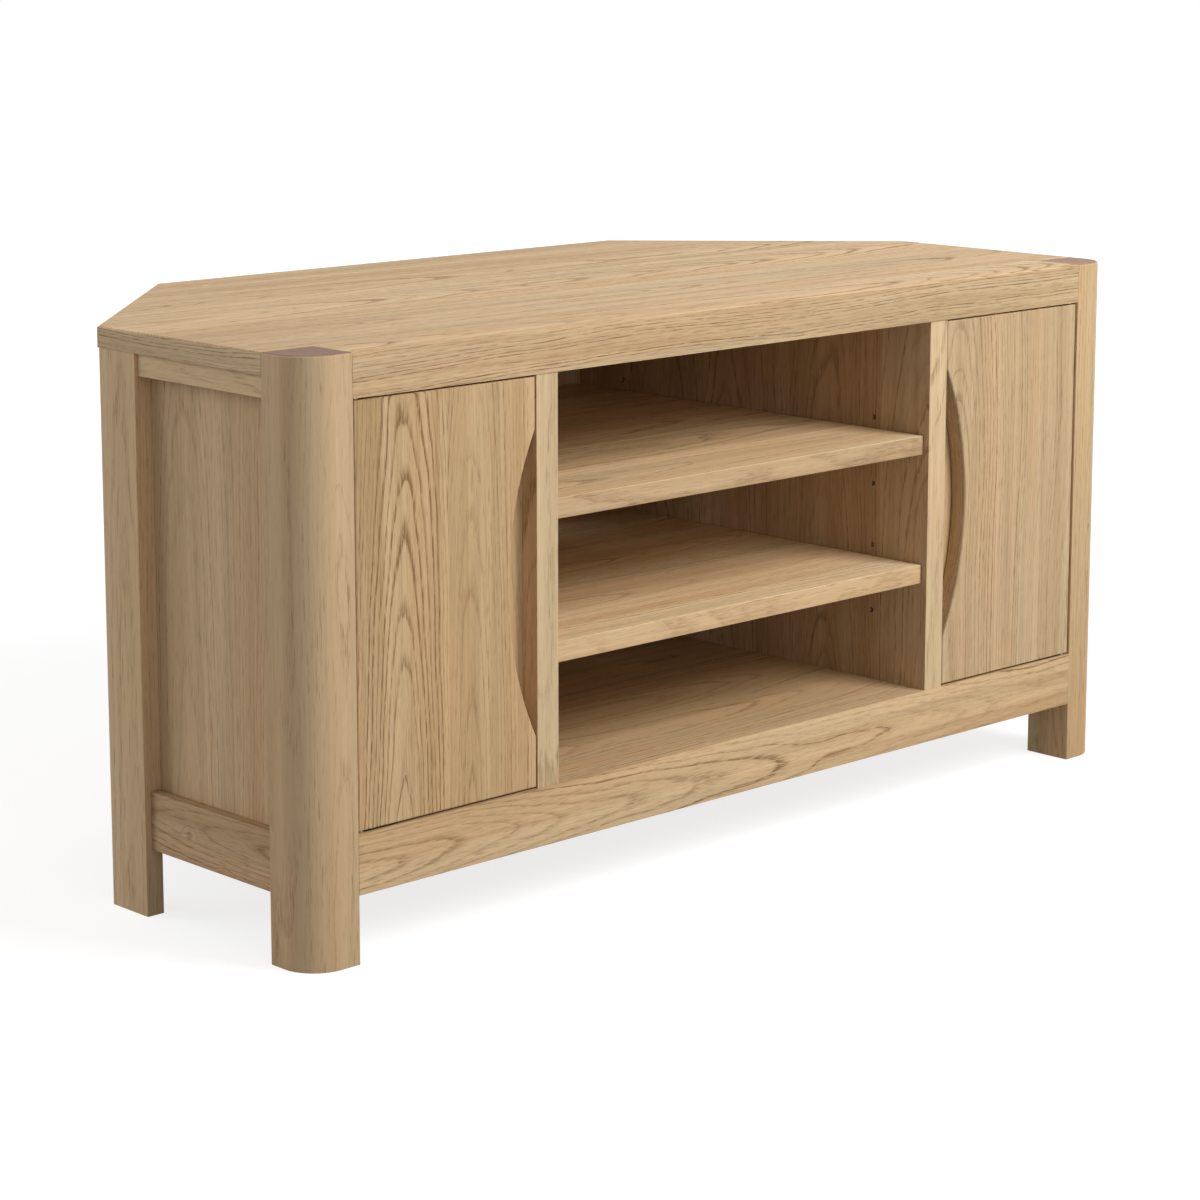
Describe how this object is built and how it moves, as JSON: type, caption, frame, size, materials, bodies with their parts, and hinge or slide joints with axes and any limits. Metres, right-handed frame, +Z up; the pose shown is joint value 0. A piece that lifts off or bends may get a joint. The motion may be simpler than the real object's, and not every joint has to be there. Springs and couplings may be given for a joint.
{
  "type": "corner tv cabinet",
  "caption": "Oak corner cabinet for a television, with cut rear corners, an open bay with adjustable shelves, and inset doors with crescent finger pulls on pivot hinges.",
  "frame": {"origin": "on the floor, below the middle of the bounding box", "axes": "+X to the right as seen from the front, +Y to the back, +Z up"},
  "size_m": [1.02, 0.492, 0.5],
  "materials": {
    "oak_boards": "satin oiled oak, grain along the board",
    "oak_uprights": "satin oiled oak, upright grain",
    "oak_doors": "satin oiled oak, upright grain with cathedral figure",
    "oak_back_panels": "matt oak veneer",
    "steel_fittings": "satin zinc-plated steel",
    "catch_magnets": "nickel-plated magnet"
  },
  "bodies": {
    "carcase": {"top": "oak_boards", "front_top_rail": "oak_boards", "front_bottom_rail": "oak_boards", "bottom_panel": "oak_boards", "rear_top_rail": "oak_boards", "rear_bottom_rail": "oak_boards", "upper_shelf": "oak_boards", "lower_shelf": "oak_boards", "left_top_rail": "oak_boards", "left_bottom_rail": "oak_boards", "left_corner_top_rail": "oak_boards", "right_top_rail": "oak_boards", "right_bottom_rail": "oak_boards", "right_corner_top_rail": "oak_boards", "left_front_leg": "oak_uprights", "left_side_post": "oak_uprights", "left_rear_post": "oak_uprights", "left_side_panel": "oak_uprights", "left_divider": "oak_uprights", "left_door_stop": "oak_uprights", "right_front_leg": "oak_uprights", "right_side_post": "oak_uprights", "right_rear_post": "oak_uprights", "right_side_panel": "oak_uprights", "right_divider": "oak_uprights", "right_door_stop": "oak_uprights", "rear_back_panel": "oak_back_panels", "left_corner_back_panel": "oak_back_panels", "right_corner_back_panel": "oak_back_panels", "left_lower_hinge_plate": "steel_fittings", "left_upper_hinge_plate": "steel_fittings", "right_lower_hinge_plate": "steel_fittings", "right_upper_hinge_plate": "steel_fittings", "lower_left_front_peg": "steel_fittings", "lower_left_back_peg": "steel_fittings", "lower_right_front_peg": "steel_fittings", "lower_right_back_peg": "steel_fittings", "upper_left_front_peg": "steel_fittings", "upper_left_back_peg": "steel_fittings", "upper_right_front_peg": "steel_fittings", "upper_right_back_peg": "steel_fittings", "left_catch_magnet": "catch_magnets", "right_catch_magnet": "catch_magnets"},
    "left_door": {"left_door": "oak_doors", "left_lower_hinge_leaf": "steel_fittings", "left_upper_hinge_leaf": "steel_fittings", "left_catch_plate": "steel_fittings"},
    "right_door": {"right_door": "oak_doors", "right_lower_hinge_leaf": "steel_fittings", "right_upper_hinge_leaf": "steel_fittings", "right_catch_plate": "steel_fittings"}
  },
  "joints": [
    {"name": "left_door_hinge", "type": "hinge", "parent": "carcase", "child": "left_door", "pos_m": [-0.45151, -0.24, 0.1105], "axis": [0, 0, -1], "range_deg": [0, 100]},
    {"name": "right_door_hinge", "type": "hinge", "parent": "carcase", "child": "right_door", "pos_m": [0.45151, -0.24, 0.1105], "axis": [0, 0, 1], "range_deg": [0, 100]}
  ]
}
